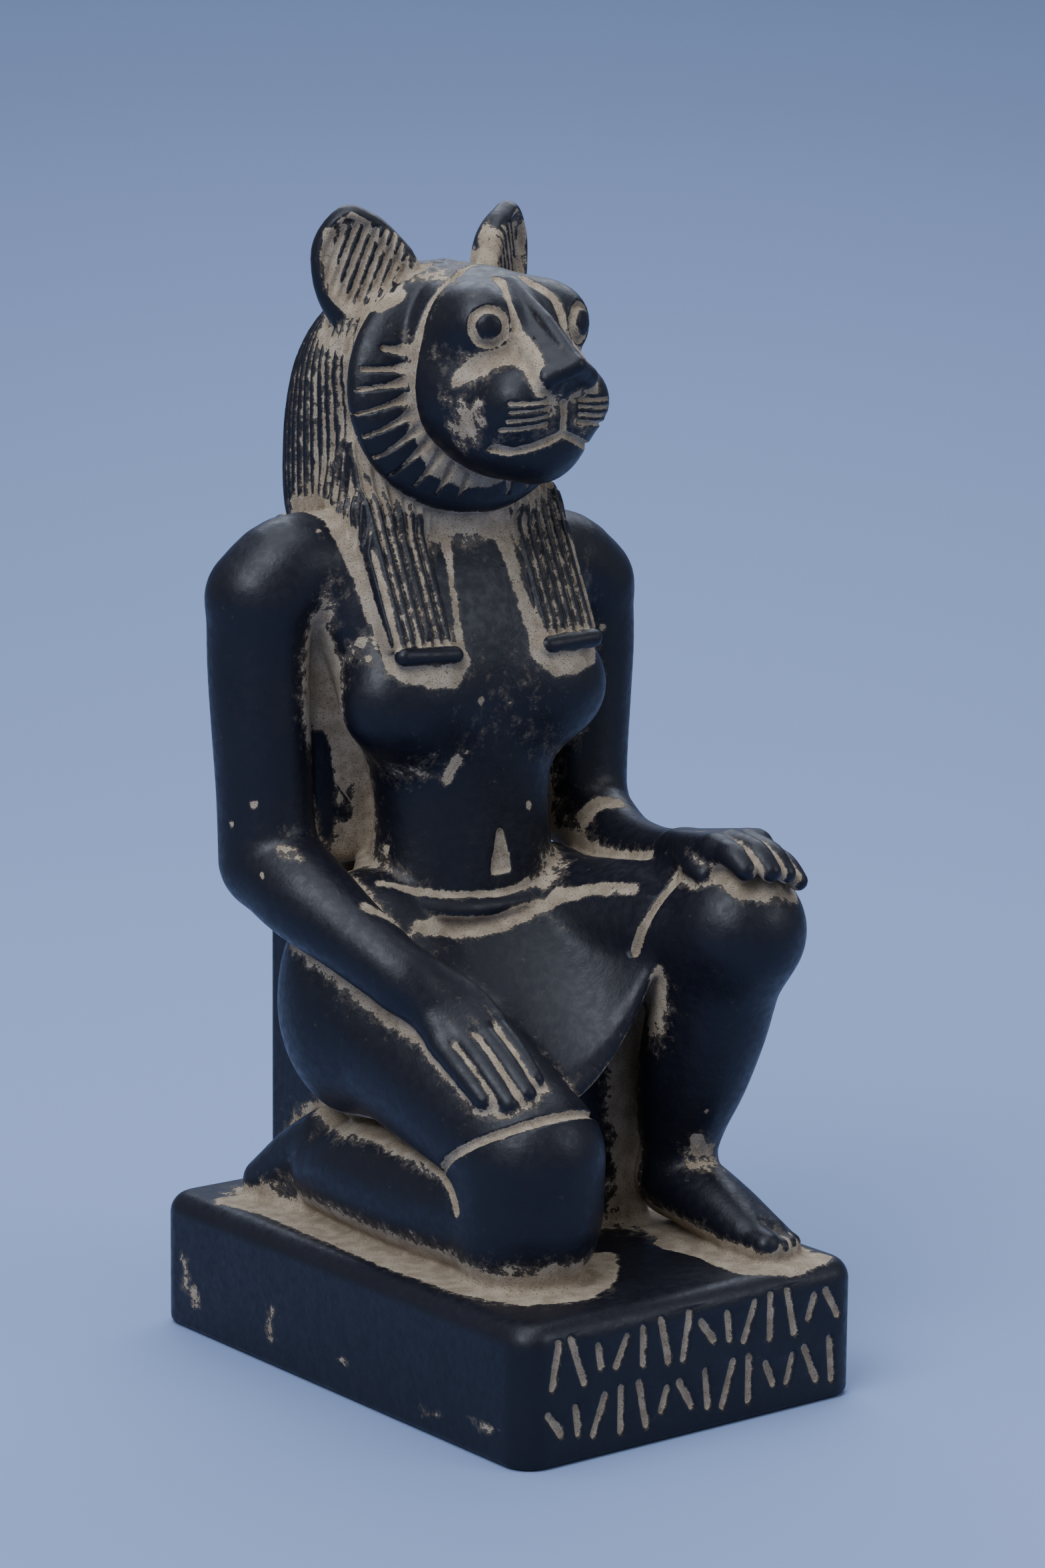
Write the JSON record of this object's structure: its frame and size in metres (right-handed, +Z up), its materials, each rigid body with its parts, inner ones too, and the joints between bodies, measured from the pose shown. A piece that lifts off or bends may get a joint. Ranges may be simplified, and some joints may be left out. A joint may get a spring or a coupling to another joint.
{
  "type": "kneeling lioness goddess statue",
  "caption": "Kneeling lioness-headed goddess in ancient Egyptian style, cast in one piece with her back pillar and rectangular plinth, hands on her thigh and knee.",
  "frame": {"origin": "centre of the plinth's underside", "axes": "+Z up, the figure faces -Y, her left hand is towards +X"},
  "size_m": [0.1161, 0.1389, 0.2609],
  "materials": {
    "statue": "satin blue-black coating over cast stone, with sandy tan clay left in the carving"
  },
  "bodies": {
    "root": {"statue": "statue"}
  },
  "joints": []
}
